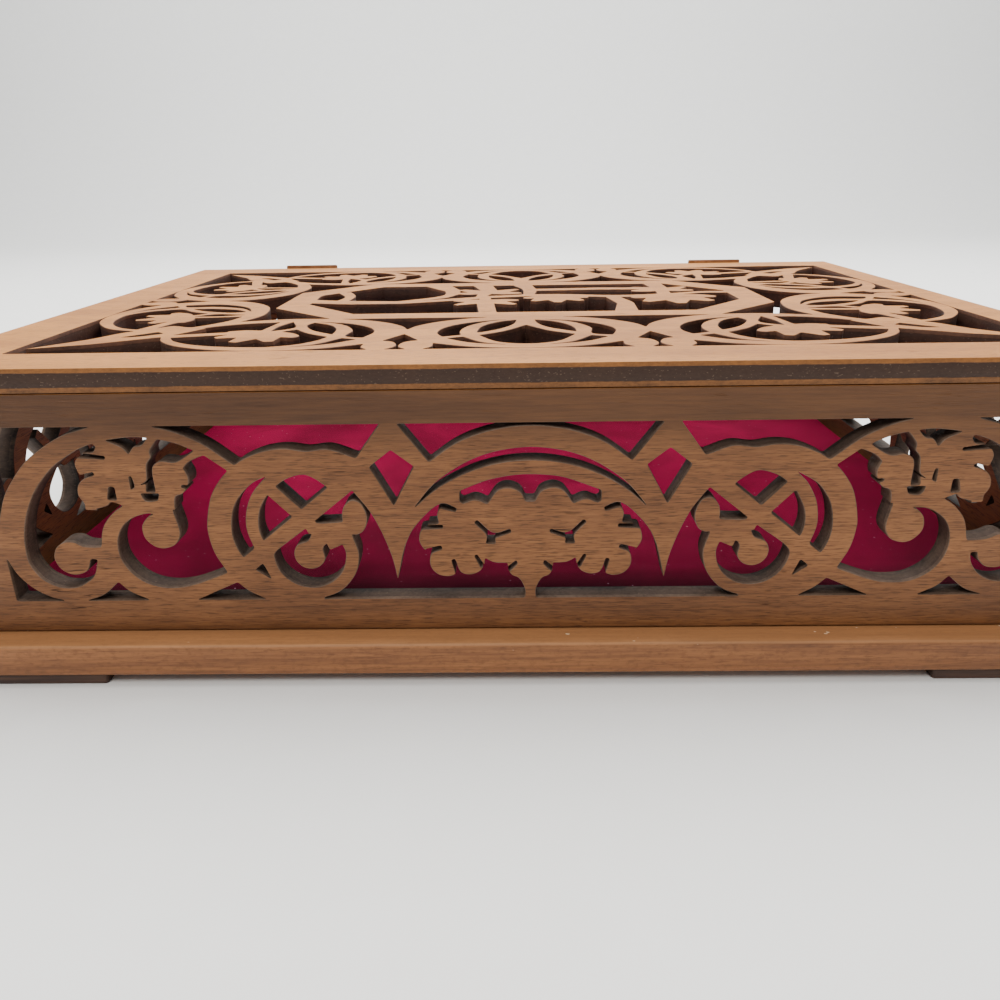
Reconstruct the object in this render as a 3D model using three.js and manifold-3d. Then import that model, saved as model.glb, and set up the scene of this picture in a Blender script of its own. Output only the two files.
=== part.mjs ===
import * as THREE from 'three';
import { mergeVertices } from 'three/addons/utils/BufferGeometryUtils.js';
import Module from 'manifold-3d';

// A hinged keepsake box of plywood with laser-cut fretwork in its lid and walls.
// Millimetres, +X along the front, +Y to the back, +Z up, origin on the table under the middle.

// Driving dimensions
const BOX_LENGTH = 305;
const BOX_DEPTH = 229;
const WALL_HEIGHT = 65.3;
const WALL_PLY = 6;
const LID_PLY = 6;
const BASE_THICKNESS = 9;
const BASE_LEDGE = 8;
const BASE_ROUNDING = 1.6;
const BASE_CORNER = 2;
const FOOT_HEIGHT = 3;
const FOOT_LENGTH = 50;
const FOOT_DEPTH = 24;
const FOOT_SETBACK = 1;
const SEAM = 0.3;

// Frames of solid wood left around the fretwork
const WALL_TOP_RAIL = 8.3;
const WALL_BOTTOM_RAIL = 9.1;
const WALL_STILE = 15.5;
const LID_BORDER_SIDE = 15;
const LID_BORDER_FRONT = 19;
const FRET_OFFSET = 3.8;

// Velvet floor pad
const PAD_THICKNESS = 5;
const PAD_CLEARANCE = 1;
const PAD_ROUNDING = 1.6;
const PAD_CORNER = 5;

// Butt hinges on the back
const HINGE_INSET = 53.5;
const HINGE_WIDTH = 25;
const LEAF_THICKNESS = 1.1;
const LID_LEAF_PROUD = 1.4;
const WALL_LEAF_HEIGHT = 9;
const KNUCKLE_RADIUS = 1.9;
const PIN_RADIUS = 0.9;
const PIN_CLEARANCE = 0.08;
const KNUCKLES = 3;
const KNUCKLE_GAP = 0.4;
const ROD_SIDES = 8;

// How far an outline's straight steps may stand off the true curve, and the least hole that is cut
const FRONT_CHORD = 0.34;
const LID_CHORD = 0.75;
const PLAIN_CHORD = 1.3;
const SMALLEST_HOLE = 1.2;
const ROUNDING_STEPS = 2;

// Heights worked out from the sizes above
const baseBottom = FOOT_HEIGHT;
const baseTop = baseBottom + BASE_THICKNESS;
const wallBottom = baseTop + SEAM;
const wallTop = wallBottom + WALL_HEIGHT;
const lidBottom = wallTop + SEAM;
const lidTop = lidBottom + LID_PLY;
const backFace = BOX_DEPTH / 2;

const wasm = await Module();
wasm.setup();

const degrees = Math.PI / 180;
const FINE_CHORD = 0.05;

function solidOf(geometry) {
  const bare = geometry.clone();
  bare.deleteAttribute('normal');
  bare.deleteAttribute('uv');
  const merged = mergeVertices(bare, 1e-5);
  return new wasm.Manifold(new wasm.Mesh({
    numProp: 3,
    vertProperties: new Float32Array(merged.attributes.position.array),
    triVerts: new Uint32Array(merged.index.array),
  }));
}

function geometryOf(solid) {
  const mesh = solid.getMesh();
  const geometry = new THREE.BufferGeometry();
  geometry.setAttribute('position', new THREE.BufferAttribute(new Float32Array(mesh.vertProperties), 3));
  geometry.setIndex(new THREE.BufferAttribute(new Uint32Array(mesh.triVerts), 1));
  geometry.computeVertexNormals();
  return geometry;
}

const join = (...solids) => solids.flat().reduce((whole, solid) => whole.add(solid));
const mirrorX = (solid) => solid.mirror([1, 0, 0]);
const mirrorY = (solid) => solid.mirror([0, 1, 0]);
const bothSides = (solid) => solid.add(mirrorX(solid));

// Flat shapes lie in the drawing plane and are one unit thick until a panel takes them up.
function sheetOf(vectors) {
  return solidOf(new THREE.ExtrudeGeometry(new THREE.Shape(vectors), { depth: 1, bevelEnabled: false }));
}

const plate = (points) => sheetOf(points.map(([x, y]) => new THREE.Vector2(x, y)));

// Leaves out the points of a line that its neighbours already give within the chord height.
function thin(points, chord = FINE_CHORD) {
  const [ax, ay] = points[0];
  const [bx, by] = points[points.length - 1];
  const length = Math.hypot(bx - ax, by - ay);
  let worst = 0;
  let at = 0;
  for (let i = 1; i < points.length - 1; i += 1) {
    const [x, y] = points[i];
    const off = length > 1e-9
      ? Math.abs((bx - ax) * (y - ay) - (by - ay) * (x - ax)) / length
      : Math.hypot(x - ax, y - ay);
    if (off > worst) {
      worst = off;
      at = i;
    }
  }
  if (worst <= chord) return [points[0], points[points.length - 1]];
  return [...thin(points.slice(0, at + 1), chord).slice(0, -1), ...thin(points.slice(at), chord)];
}

// Thins a closed line between its leftmost point and the point furthest from that.
function thinLoop(points, chord) {
  const first = points.reduce((best, point, i) => (point[0] < points[best][0] ? i : best), 0);
  const turned = [...points.slice(first), ...points.slice(0, first)];
  const reach = turned.map(([x, y]) => Math.hypot(x - turned[0][0], y - turned[0][1]));
  const far = reach.indexOf(Math.max(...reach));
  const there = thin(turned.slice(0, far + 1), chord);
  const back = thin([...turned.slice(far), turned[0]], chord);
  return [...there.slice(0, -1), ...back.slice(0, -1)];
}

// The closed lines round the upper face of a flat solid, the wood always on the left.
function outlines(solid) {
  const { vertProperties, triVerts } = solid.getMesh();
  const next = new Map();
  const inside = new Set();
  for (let i = 0; i < triVerts.length; i += 3) {
    const corners = [triVerts[i], triVerts[i + 1], triVerts[i + 2]];
    if (corners.some((corner) => vertProperties[3 * corner + 2] < 0.5)) continue;
    corners.forEach((corner, k) => inside.add(`${corner} ${corners[(k + 1) % 3]}`));
  }
  for (const edge of inside) {
    const [from, to] = edge.split(' ');
    if (!inside.has(`${to} ${from}`)) next.set(from, to);
  }
  const lines = [];
  while (next.size > 0) {
    const line = [];
    let [at] = next.keys();
    while (next.has(at)) {
      line.push([vertProperties[3 * at], vertProperties[3 * at + 1]]);
      const following = next.get(at);
      next.delete(at);
      at = following;
    }
    lines.push(line);
  }
  return lines;
}

// Cuts a panel out of the sheet: the outlines of a flat solid, thinned and drawn up to its ply.
function cutPanel(solid, ply, chord) {
  const rings = outlines(solid)
    .map((line) => thinLoop(line, chord).map(([x, y]) => new THREE.Vector2(x, y)))
    .filter((ring) => Math.abs(THREE.ShapeUtils.area(ring)) > SMALLEST_HOLE);
  const wood = rings.filter((ring) => THREE.ShapeUtils.area(ring) > 0).map(sheetOf);
  const holes = rings.filter((ring) => THREE.ShapeUtils.area(ring) < 0).map(sheetOf);
  return geometryOf(join(wood).subtract(through(join(holes))).scale([1, 1, ply]));
}

function oval(x, y, radiusX, radiusY = radiusX) {
  const step = 2 * Math.acos(1 - FINE_CHORD / Math.max(radiusX, radiusY));
  const count = Math.ceil(2 * Math.PI / step);
  return plate(Array.from({ length: count }, (_, i) => {
    const angle = 2 * Math.PI * (i + 0.5) / count;
    return [x + radiusX * Math.cos(angle), y + radiusY * Math.sin(angle)];
  }));
}

// A band of wood along a smooth line through its knots, each knot being x, y and width.
function ribbon(...knots) {
  const line = new THREE.SplineCurve(knots.map(([x, y]) => new THREE.Vector2(x, y)));
  const steps = knots.length === 2 ? 1 : 12 * (knots.length - 1);
  const left = [];
  const right = [];
  for (let i = 0; i <= steps; i += 1) {
    const t = i / steps;
    const at = t * (knots.length - 1);
    const low = Math.min(Math.floor(at), knots.length - 2);
    const half = THREE.MathUtils.lerp(knots[low][2], knots[low + 1][2], at - low) / 2;
    const point = line.getPoint(t);
    const tangent = line.getTangent(t);
    left.push([point.x - tangent.y * half, point.y + tangent.x * half]);
    right.push([point.x + tangent.y * half, point.y - tangent.x * half]);
  }
  return plate([...thin(right), ...thin(left).reverse()]);
}

function arc(x, y, radius, width, from, to) {
  const count = Math.ceil(Math.abs(to - from) / 30) + 1;
  return ribbon(...Array.from({ length: count }, (_, i) => {
    const angle = (from + (to - from) * i / (count - 1)) * degrees;
    return [x + radius * Math.cos(angle), y + radius * Math.sin(angle), width];
  }));
}

const box = (x0, y0, x1, y1) => plate([[x0, y0], [x1, y0], [x1, y1], [x0, y1]]);

// How far fretwork runs on into the solid frame, and a cutter that goes right through the sheet.
const LAP = 1;
const through = (solid) => solid.scale([1, 1, 3]).translate([0, 0, -1]);

// A leaf is a body of round lobes, each x, y and radius, with knife cuts between them.
function leaf(lobes, cuts) {
  const body = join(lobes.map(([x, y, radius]) => oval(x, y, radius)));
  return cuts.reduce((whole, [x0, y0, x1, y1, width]) => whole.subtract(cut(x0, y0, x1, y1, width)), body);
}

// A tapering cut from its open end to its closed, slightly wider end.
function cut(x0, y0, x1, y1, width) {
  return ribbon([x0, y0, width * 1.6], [x1, y1, width]);
}

// Wall fretwork, drawn from the middle of the opening's lower edge.
const WALL_DRAWING = { half: 137, height: 47.9 };
const SIDE_DRAWING = { half: 99, height: 47.9 };
const POST = { x: 34.8, neck: 4.1, tip: 5.6 };
const DIAMOND = { x: 34.6, top: 41.2, shoulder: 36.8, width: 11.2, height: 14.8 };
const WHEEL = { x: 61.1, y: 19.9, radius: 18.8, band: 6.3 };
const HUB = { x: 55.5, y: 20.9, radius: 15.8, band: 3.3 };
const VOLUTE = { x: 57.3, y: 12.9, radius: 11.1, band: 3.4, bud: 4.1 };
const GREAT_ARC = { x: 100.8, y: 12.7, reach: 37.4, rise: 36, innerX: 98.5, innerY: 12.2, innerRadius: 33 };
const END_SCROLL = { x: 121.1, y: 16, radius: 16.3, innerX: 122.2, innerY: 13, innerRadius: 9.2, bud: 4.8 };

// Two arches over the leaf, the slit that parts them and the lens under the inner one.
const SLIT = { outerY: 6.2, outerRadius: 35.4, innerY: -2.8, innerRadius: 41.1 };
const ARCH_BAND = 5.6;

const slit = () => oval(0, SLIT.outerY, SLIT.outerRadius).subtract(oval(0, SLIT.innerY, SLIT.innerRadius));

function arches() {
  const outer = arc(0, SLIT.outerY, SLIT.outerRadius + ARCH_BAND / 2, ARCH_BAND, 42, 138);
  const inner = oval(0, SLIT.innerY, SLIT.innerRadius).intersect(box(-28.5, 26.8, 28.5, 39));
  const lens = oval(0, -4.5, 39).intersect(box(-17.9, 20, 17.9, 40));
  return outer.add(inner.subtract(lens));
}

const stalk = () => ribbon([0, 12, 7], [0, 6, 6.4], [0, 2.6, 3], [0, -1, 2.8]);

function greatLeaf() {
  const lobes = [
    [5.7, 26.4, 4.6], [14.2, 22.6, 5.2], [19.4, 23.2, 4.4], [24.4, 17.2, 4.3], [21.9, 10.6, 4.3],
    [15.9, 11, 4.2], [8.6, 14.6, 4.4], [2.4, 9.2, 3.6], [6.4, 20, 8], [15.8, 18, 6.6],
    [0, 24.5, 3], [0, 14.4, 4.8], [6, 13, 3],
  ];
  const cuts = [
    [24.6, 27, 18.8, 25, 1.1], [29.6, 20.2, 22.4, 20.5, 0.9], [26.9, 13.4, 22.9, 14.7, 1.1],
    [18.6, 6.6, 20.1, 11.2, 1], [12.4, 9, 14.2, 12.4, 0.8], [5.9, 8.2, 3.4, 10.6, 0.8],
  ];
  const veins = [[10.2, 18, 14, 21.9, 1], [10.2, 17.6, 5, 19.2, 1], [10.2, 15.6, 10.2, 18.8, 1.6]];
  return join(bothSides(leaf(lobes, [...cuts, ...veins])), stalk());
}

// A post that forks from a narrow neck and hangs down in a point; the diamond is cut out of it later.
function post() {
  const { x, neck, tip } = POST;
  const top = WALL_DRAWING.height;
  const curve = (...points) => new THREE.SplineCurve(points.map(([px, py]) => new THREE.Vector2(px, py)))
    .getPoints(60).map((point) => [point.x, point.y]);
  const outer = curve([x, tip], [35.4, 8.6], [36.1, 12.6], [38.5, 19.2], [41.3, 25.7], [46.5, 32.6]);
  const inner = curve([21.4, 27.6], [26.6, 23.7], [30.6, 19], [33.2, 12.6], [33.8, 8.6], [x, tip]);
  return plate([
    [x - neck / 2, top + 1], [x - neck / 2, top], [24.2, 36.6],
    ...thin(inner).slice(0, -1), ...thin(outer),
    [44.8, 37.2], [x + neck / 2, top], [x + neck / 2, top + 1],
  ]);
}

function diamond() {
  const { x, top, shoulder, width, height } = DIAMOND;
  return plate([[x, top], [x - width / 2, shoulder], [x, top - height], [x + width / 2, shoulder]]);
}

// A ring crossed by two spokes, with two volutes on the side towards the middle.
function wheel(isPlain) {
  const rim = arc(WHEEL.x, WHEEL.y, WHEEL.radius, WHEEL.band, -88, 140);
  const hub = arc(HUB.x, HUB.y, HUB.radius, HUB.band, -34, 128);
  const spokes = join(
    ribbon([44.5, 33.9, 4.5], [76.1, 8.3, 4.5]),
    ribbon([67, 32.5, 3.3], [54.6, 19.4, 3.3]),
  );
  const volute = arc(VOLUTE.x, VOLUTE.y, VOLUTE.radius, VOLUTE.band, 150, 375);
  const shoulder = ribbon([57, 38.8, 4], [50.5, 39.4, 4.4], [43.6, 36.6, 5]);
  const bridge = ribbon([45.6, 20.3, 3.4], [57, 20.4, 3.2]);
  const footing = ribbon([54.5, 0, 2.4], [64, 0, 3]);
  const body = join(rim, spokes, volute, shoulder, bridge, footing);
  if (isPlain) return body;
  return join(
    body,
    hub,
    oval(44.9, 23.2, 3.2, 4.8),
    oval(VOLUTE.x, VOLUTE.y, VOLUTE.bud),
    ribbon([57.3, 13.1, 4.2], [52.6, 20.4, 4.6]),
    ribbon([46.4, 19.4, 5], [53, 17, 6]),
  );
}

// The arc that sweeps from the wheel over the whole end section down to the end scroll.
function greatArc() {
  const { x, y, reach, rise, innerX, innerY, innerRadius } = GREAT_ARC;
  const crescent = oval(x, y, reach, rise).subtract(oval(innerX, innerY, innerRadius));
  return crescent.intersect(join(box(72, 30, 140, 60), box(110, 13, 140, 31)));
}

// The ring of an end scroll, kept from the given x outwards and below the great arc.
function endRing(from) {
  const { x, y, radius, innerX, innerY, innerRadius } = END_SCROLL;
  const ring = oval(x, y, radius).subtract(oval(innerX, innerY, innerRadius));
  return ring.intersect(box(from, -2, 140, 15.5));
}

function scrolls() {
  const sBand = ribbon(
    [93, 20, 4.3], [93.3, 25.4, 4.3], [97.6, 26.6, 3.5], [103, 25.2, 3.9], [107.2, 21.6, 4.1],
    [109.1, 16.6, 4.4], [108.9, 11, 4.8], [106, 5.8, 5], [101.4, 2.6, 4.8], [95.8, 1.4, 4.6],
    [90, 1.9, 4.6], [84.6, 4, 3.8], [77, 7, 3.4],
  );
  return join(
    sBand,
    oval(95.1, 19.9, 4.9),
    endRing(108),
    oval(119.6, 12.4, END_SCROLL.bud),
    ribbon([119.6, 14.4, 3.6], [108.5, 13.4, 3.6]),
  );
}

function endLeaf() {
  const lobes = [
    [110, 37.6, 4], [110.3, 30.6, 4.4], [104.6, 38.6, 5.2], [103.4, 32, 5], [99.6, 36.6, 4.2],
    [90.8, 34.2, 4.9], [96.6, 29.6, 3.4], [106, 34.5, 5], [97, 40.5, 2.6],
  ];
  const cuts = [
    [114.6, 40.9, 106, 39.9, 0.9], [114.6, 34.4, 109.6, 35.8, 0.9], [106.2, 28.6, 105.8, 32.2, 1.5],
    [99.4, 28.3, 92.6, 29, 2.6], [100.4, 30, 100.6, 35, 0.7], [96, 30.6, 95.2, 37.6, 1.5],
    [85.4, 31.6, 88, 32.2, 0.8],
  ];
  return join(
    leaf(lobes, cuts),
    ribbon([110.6, 26.9, 2.2], [113.6, 26.8, 1.6]),
    ribbon([98.6, 27, 3], [101.4, 31, 4]),
    ribbon([104.6, 42, 3], [107.6, 44.6, 3]),
    ribbon([91.6, 31, 4], [92.8, 26.4, 4.6]),
    ribbon([97, 40.5, 3], [92.6, 45.6, 1.8]),
    ribbon([89, 36.8, 2.6], [85.4, 39.6, 2], [80.5, 41.6, 1.8]),
  );
}

// The drawing of a wall: arches and leaf in the middle, then posts, wheels and ends to both sides.
function wallFretwork(middleLeaf, end, isPlain) {
  const half = join(post(), wheel(isPlain), end);
  return join(arches(), middleLeaf, bothSides(half)).subtract(bothSides(diamond())).subtract(slit());
}

const frontFretwork = () => wallFretwork(greatLeaf(), join(greatArc(), scrolls(), endLeaf()), false);

// The other walls keep the front's layout with plainer wheels and rounder leaves.
function plainLeaf() {
  const half = join(oval(5.6, 25, 5.8), oval(16.6, 19.6, 7.6), oval(20.6, 12.4, 5.6), oval(9, 14.6, 6.4));
  return join(bothSides(half), stalk());
}

function backFretwork() {
  const band = ribbon([110, 12, 5], [106, 5.8, 5], [96, 1.4, 4.8], [84.6, 4, 4], [76, 8, 4]);
  const spray = join(
    oval(104.6, 34.6, 6.8), oval(93.6, 32.6, 6),
    ribbon([99, 31, 5], [98.6, 20, 3.6], [103, 4, 3.6]),
    ribbon([106, 37, 4], [111, 42, 4]), ribbon([91, 35, 3], [80, 40, 3]),
  );
  return wallFretwork(plainLeaf(), join(greatArc(), endRing(105), band, spray), true);
}

// On the sides a plain arc and a bead follow the wheels.
function sideFretwork() {
  const end = join(
    arc(WHEEL.x, WHEEL.y, 32.6, 4.6, -64, 64),
    oval(85.8, WHEEL.y, 4.6),
    ribbon([84, WHEEL.y, 4.4], [101, WHEEL.y, 5.4]),
  );
  return wallFretwork(plainLeaf(), end, true);
}

// A panel is a frame round an opening that the drawing is stretched to fill.
function fretPanel({ length, height, ply, stiles, rails, drawing, fretwork, chord, offset = 0 }) {
  const [low, high] = rails;
  const fieldHeight = height - low - high;
  const fieldLength = length - 2 * stiles;
  const field = box(-drawing.half - LAP, -LAP, drawing.half + LAP, drawing.height + LAP);
  const placed = fretwork.intersect(field)
    .scale([fieldLength / (2 * drawing.half), fieldHeight / drawing.height, 1])
    .translate([offset, low, 0]);
  const opening = box(offset - fieldLength / 2, low, offset + fieldLength / 2, height - high);
  const frame = box(-length / 2, 0, length / 2, height).subtract(through(opening));
  return cutPanel(frame.add(placed), ply, chord);
}

// Lid fretwork, drawn from the middle of the lid's openwork, its front edge at the lowest y.
const LID_DRAWING = { halfX: 137.5, halfY: 95.5 };
const OVAL = { x: 35.2, y: 26, top: 0.4 };
const FRAME = { x: 85.5, y: 45, sideX: 61, sideY: 20, band: 10, bandX: 5, bandY: 8 };
const SPRAY_LAP = { x: 4, side: 3 };
const SIDE_WHEEL = { halfLength: 31.9, overlap: 0.3 };

// One half of an oval wheel, x 0 to 35, seen from its foot: rim, ring, curved bar, bridge and bead.
function halfWheel() {
  const rim = oval(0, OVAL.y, OVAL.x, OVAL.y).subtract(oval(0, 25, 25.5, 21));
  const ring = oval(0, 25, 19.3, 21.4).subtract(oval(0, 25.5, 14.2, 19.7));
  const half = join(rim, ring).intersect(box(0, -1, 40, 60));
  return join(
    half,
    ribbon([0, 47, 5.4], [1.3, 38, 4.6], [5.6, 29.4, 3.4], [10.6, 23.6, 3.4], [16.6, 19.2, 3.6]),
    ribbon([16.6, 19.2, 2.8], [27, 14.2, 2.8]),
    oval(29.8, 5.8, 4.7, 6.6),
  );
}

// A leaf of blunt fingers that fan out from its stalk, with the outer ones shorter; angles in degrees.
const FINGERS = 5;
const FINGER = { base: 0.34, belly: 0.43, tip: 0.16, outer: 0.9 };

function fanLeaf(x, y, reach, direction, spread) {
  return join(Array.from({ length: FINGERS }, (_, i) => {
    const share = i / (FINGERS - 1) - 0.5;
    const length = reach * (1 - FINGER.outer * share * share);
    const angle = (direction + spread * share) * degrees;
    const along = (part) => [x + part * length * Math.cos(angle), y + part * length * Math.sin(angle)];
    return ribbon(
      [...along(0), reach * FINGER.base],
      [...along(0.6), reach * FINGER.belly],
      [...along(1), reach * FINGER.tip],
    );
  }));
}

// The half of a corner wheel that holds a leaf: a thin rim and a hanging spray.
function scrollHalf() {
  const crescent = oval(0, OVAL.y, OVAL.x, OVAL.y).subtract(oval(2.4, 25.6, 30, 20.4));
  const rim = crescent.intersect(box(0, -1, 40, 60));
  return join(
    rim,
    fanLeaf(5.6, 27.5, 16, -68, 150),
    ribbon([7, 28, 3.4], [6.4, 38, 3], [4.4, 47.5, 3.6]),
    ribbon([4.6, 28, 3], [-0.8, 33, 2.6], [-1.8, 39, 2.6], [-3.6, 46.5, 3]),
    ribbon([12, 27, 3.6], [19, 26.4, 4.6], [26, 24.6, 4.2], [33.4, 22.4, 4.4]),
  );
}

function cornerWheel() {
  return join(mirrorX(halfWheel()), scrollHalf());
}

// A spike from the meeting of two corner wheels into the corner of the opening.
function spike() {
  const body = plate([
    [135, 6.4], [124.6, 19], [118.6, 30.4], [108, 41], [96, 36], [104.6, 21.6], [120, 12.2],
  ]);
  const eye = plate([[116.4, 22.6], [108.4, 30.6], [105.8, 27.8], [112.6, 22.8]]);
  return body.subtract(eye);
}

function octagon(x, y, sideX, sideY) {
  return plate([
    [x, -sideY], [x, sideY], [sideX, y], [-sideX, y], [-x, sideY], [-x, -sideY], [-sideX, -y], [sideX, -y],
  ]);
}

// The middle picture: a bare bough, leaves of three sizes and two bars, all inside the octagon.
function middleSpray() {
  const bough = join(
    ribbon(
      [-78, -4, 8], [-60, -8.6, 7.6], [-42, -9.4, 6], [-26, -4.6, 5],
      [-8, 3.4, 5], [12, 5, 5.4], [34, 0, 5.4], [54, 3, 5],
    ),
    ribbon([-66, -8, 5], [-64.4, 6, 4], [-69, 20, 5]),
    ribbon([-44, -8, 4], [-29, 4, 4.6], [-27, 20, 6], [-34, 37, 10]),
    ribbon([32, 0, 5], [35, -18, 6], [33, -37, 8]),
    ribbon([-14, 0, 4], [-13, -16, 5], [-12, -37, 6]),
    ribbon([52, 3, 5], [53, 20, 5], [52, 37, 7]),
    ribbon([2, 5, 4], [3, 20, 5], [0, 37, 8]),
    ribbon([-16, 2, 4], [-13, 20, 6], [-16, 37, 8]),
    ribbon([54, 3, 4.4], [66, 8, 4.4], [78, 8, 5]),
    ribbon([0, 20, 6], [28, 22, 6], [56, 20, 6]),
  );
  const leaves = join(
    fanLeaf(-13.4, -8, 15, -90, 190),
    fanLeaf(12, 2, 16, -90, 140),
    fanLeaf(54, 0, 20, -90, 150),
    fanLeaf(53, 15, 15, 90, 190),
    fanLeaf(-13, 13, 16, 90, 190),
  );
  const { x, y, sideX, sideY } = FRAME;
  const reach = octagon(x - SPRAY_LAP.x, y - SPRAY_LAP.x, sideX - SPRAY_LAP.side, sideY - SPRAY_LAP.side);
  return join(bough, leaves).intersect(reach);
}

function lidFretwork() {
  const { halfX, halfY } = LID_DRAWING;
  const frontRow = (solid, x) => solid.translate([x, -halfY, 0]);
  const gap = 2 * OVAL.x - 2 * OVAL.top;
  const middleWheel = frontRow(bothSides(halfWheel()), 0);
  const corner = frontRow(cornerWheel(), gap);
  const stretch = SIDE_WHEEL.halfLength / OVAL.x;
  const side = cornerWheel().scale([stretch, 1, 1]).rotate([0, 0, 90])
    .translate([halfX, SIDE_WHEEL.halfLength - SIDE_WHEEL.overlap, 0]);
  const sideWheel = mirrorY(side);
  const quarter = join(corner, sideWheel, frontRow(spike(), 0));
  const half = join(bothSides(quarter), middleWheel);
  const { x, y, sideX, sideY, band, bandX, bandY } = FRAME;
  const field = octagon(x - band, y - band, sideX - bandX, sideY - bandY);
  const frame = octagon(x, y, sideX, sideY).subtract(field);
  return join(half, mirrorY(half), frame, middleSpray());
}

function lidPanel() {
  const halfX = BOX_LENGTH / 2 - LID_BORDER_SIDE;
  const halfY = BOX_DEPTH / 2 - LID_BORDER_FRONT;
  const { halfX: drawnX, halfY: drawnY } = LID_DRAWING;
  const field = box(-drawnX - LAP, -drawnY - LAP, drawnX + LAP, drawnY + LAP);
  const placed = lidFretwork().intersect(field)
    .scale([halfX / drawnX, halfY / drawnY, 1])
    .translate([FRET_OFFSET, 0, 0]);
  const opening = box(FRET_OFFSET - halfX, -halfY, FRET_OFFSET + halfX, halfY);
  const border = box(-BOX_LENGTH / 2, -BOX_DEPTH / 2, BOX_LENGTH / 2, BOX_DEPTH / 2);
  return cutPanel(border.subtract(through(opening)).add(placed), LID_PLY, LID_CHORD);
}

// Boards and soft parts with rounded edges
function roundedSlab(length, depth, thickness, corner, rounding) {
  const shape = new THREE.Shape();
  const x = length / 2 - rounding - corner;
  const y = depth / 2 - rounding - corner;
  shape.absarc(x, -y, corner, -Math.PI / 2, 0, false);
  shape.absarc(x, y, corner, 0, Math.PI / 2, false);
  shape.absarc(-x, y, corner, Math.PI / 2, Math.PI, false);
  shape.absarc(-x, -y, corner, Math.PI, 1.5 * Math.PI, false);
  const geometry = new THREE.ExtrudeGeometry(shape, {
    depth: thickness - 2 * rounding, curveSegments: ROUNDING_STEPS, bevelEnabled: true,
    bevelThickness: rounding, bevelSize: rounding, bevelSegments: ROUNDING_STEPS,
  });
  return geometry.translate(0, 0, rounding);
}

function material(color, roughness, metalness = 0) {
  return new THREE.MeshStandardMaterial({ color, roughness, metalness });
}

const wallWood = material(0x96704e, 0.62);
const lidWood = material(0xb08868, 0.55);
const baseWood = material(0x966942, 0.6);
const footWood = material(0x5b4030, 0.75);
const velvet = material(0xa0104e, 0.95);
const bronze = material(0x4a3a2c, 0.45, 0.85);

const model = new THREE.Group();
model.name = 'keepsake_box';

function piece(name, geometry, look, place) {
  const mesh = new THREE.Mesh(geometry, look);
  mesh.name = name;
  mesh.position.set(...place);
  model.add(mesh);
  return mesh;
}

// Base and feet
const baseLength = BOX_LENGTH + 2 * BASE_LEDGE;
const baseDepth = BOX_DEPTH + 2 * BASE_LEDGE;
const board = roundedSlab(baseLength, baseDepth, BASE_THICKNESS, BASE_CORNER, BASE_ROUNDING);
piece('base_board', board, baseWood, [0, 0, baseBottom]);
for (const [side, x] of [['left', -1], ['right', 1]]) {
  for (const [end, y] of [['front', -1], ['rear', 1]]) {
    const foot = new THREE.BoxGeometry(FOOT_LENGTH, FOOT_DEPTH, FOOT_HEIGHT);
    const place = [
      x * (baseLength / 2 - FOOT_SETBACK - FOOT_LENGTH / 2),
      y * (baseDepth / 2 - FOOT_SETBACK - FOOT_DEPTH / 2),
      FOOT_HEIGHT / 2,
    ];
    piece(`foot_${end}_${side}`, foot, footWood, place);
  }
}

// Walls: front and back run the full length, the sides stand between them.
const wallRails = [WALL_BOTTOM_RAIL, WALL_TOP_RAIL];
const anyWall = { height: WALL_HEIGHT, ply: WALL_PLY, rails: wallRails };
const longWall = { ...anyWall, length: BOX_LENGTH, stiles: WALL_STILE, drawing: WALL_DRAWING };
const sideLength = BOX_DEPTH - 2 * (WALL_PLY + SEAM);
const sideStile = WALL_STILE - WALL_PLY;
const frontWall = piece('front_wall', fretPanel({
  ...longWall, fretwork: frontFretwork(), chord: FRONT_CHORD, offset: FRET_OFFSET,
}), wallWood, [0, -backFace + WALL_PLY, wallBottom]);
frontWall.rotation.x = Math.PI / 2;
const backWall = piece('back_wall', fretPanel({
  ...longWall, fretwork: backFretwork(), chord: PLAIN_CHORD,
}), wallWood, [0, backFace - WALL_PLY, wallBottom]);
backWall.rotation.set(Math.PI / 2, Math.PI, 0);
for (const [side, x] of [['left', -1], ['right', 1]]) {
  const wall = piece(`${side}_wall`, fretPanel({
    ...anyWall, length: sideLength, stiles: sideStile, drawing: SIDE_DRAWING,
    fretwork: sideFretwork(), chord: PLAIN_CHORD,
  }), wallWood, [x * (BOX_LENGTH / 2 - WALL_PLY), 0, wallBottom]);
  wall.rotation.set(Math.PI / 2, x * Math.PI / 2, 0);
}

// Floor pad
const padLength = BOX_LENGTH - 2 * (WALL_PLY + PAD_CLEARANCE);
const padDepth = BOX_DEPTH - 2 * (WALL_PLY + PAD_CLEARANCE);
const pad = roundedSlab(padLength, padDepth, PAD_THICKNESS, PAD_CORNER, PAD_ROUNDING);
piece('floor_pad', pad, velvet, [0, 0, wallBottom]);

// Lid
piece('lid_panel', lidPanel(), lidWood, [0, 0, lidBottom]);

// Hinges: the pin runs at the seam between wall and lid, behind the back face.
const pinY = backFace + KNUCKLE_RADIUS + SEAM / 2;
const pinZ = wallTop + SEAM / 2;
const leafFace = backFace + SEAM / 2;

function rod(radius, length) {
  const cylinder = new THREE.CylinderGeometry(radius, radius, length, ROD_SIDES);
  cylinder.rotateZ(Math.PI / 2);
  return solidOf(cylinder);
}

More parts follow.
